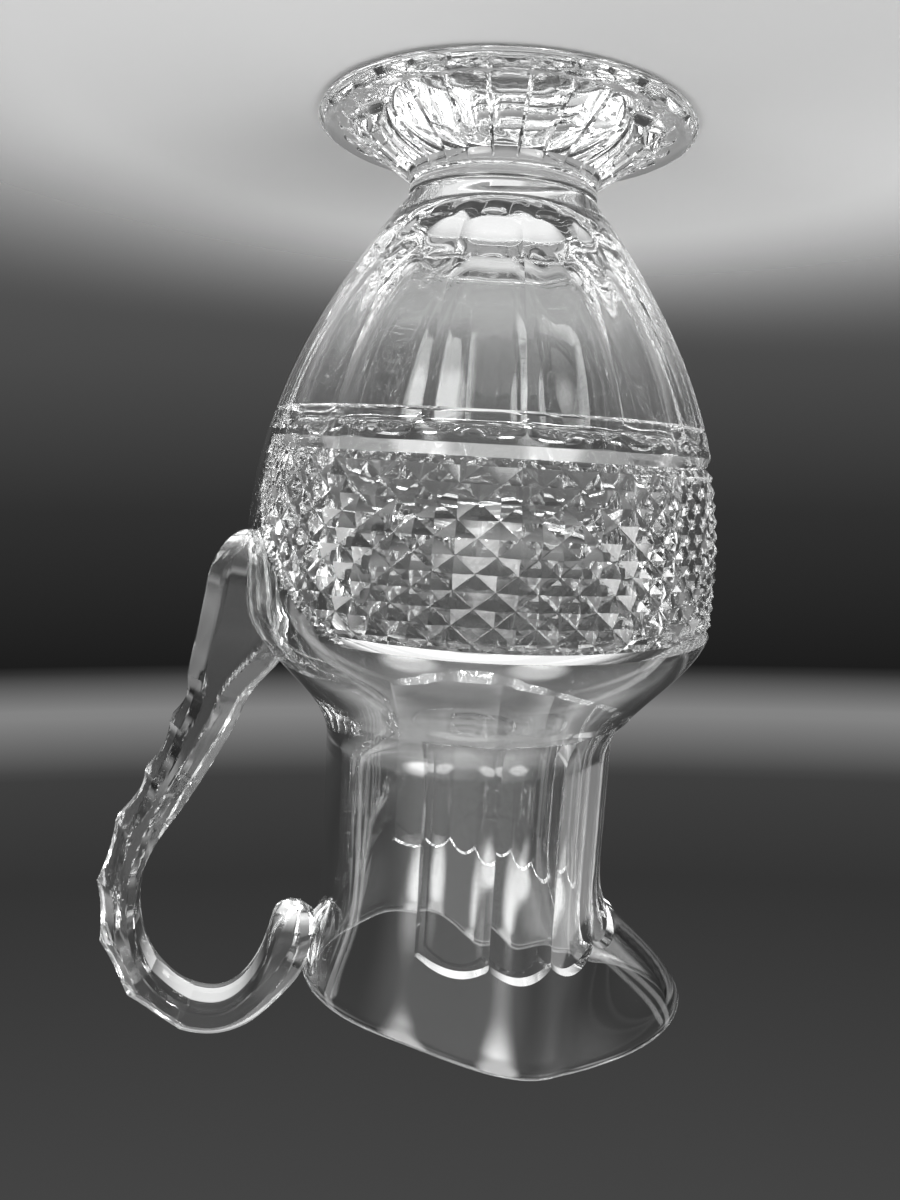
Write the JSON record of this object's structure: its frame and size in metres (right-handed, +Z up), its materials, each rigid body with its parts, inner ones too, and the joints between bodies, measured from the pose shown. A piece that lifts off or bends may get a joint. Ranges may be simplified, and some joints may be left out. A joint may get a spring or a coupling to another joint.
{
  "type": "cut crystal water pitcher",
  "caption": "Clear cut-crystal water pitcher: footed round bowl with a diamond-cut band, fluted neck, raised pouring lip and an applied loop handle.",
  "frame": {"origin": "centre of the foot's flat underside, on the axis of the bowl", "axes": "+Z up from the foot to the rim; +X towards the handle; the spout points along -X"},
  "size_m": [0.1832, 0.1354, 0.2686],
  "materials": {
    "foot_crystal": "clear polished crystal, flutes cut on the upper face",
    "wafer_crystal": "clear fire-polished crystal",
    "bowl_crystal": "clear polished crystal, deep cut diamonds, flat panels and flutes",
    "handle_crystal": "clear polished crystal, faceted and notched"
  },
  "bodies": {
    "root": {"foot": "foot_crystal", "wafer": "wafer_crystal", "bowl": "bowl_crystal", "handle": "handle_crystal"}
  },
  "joints": []
}
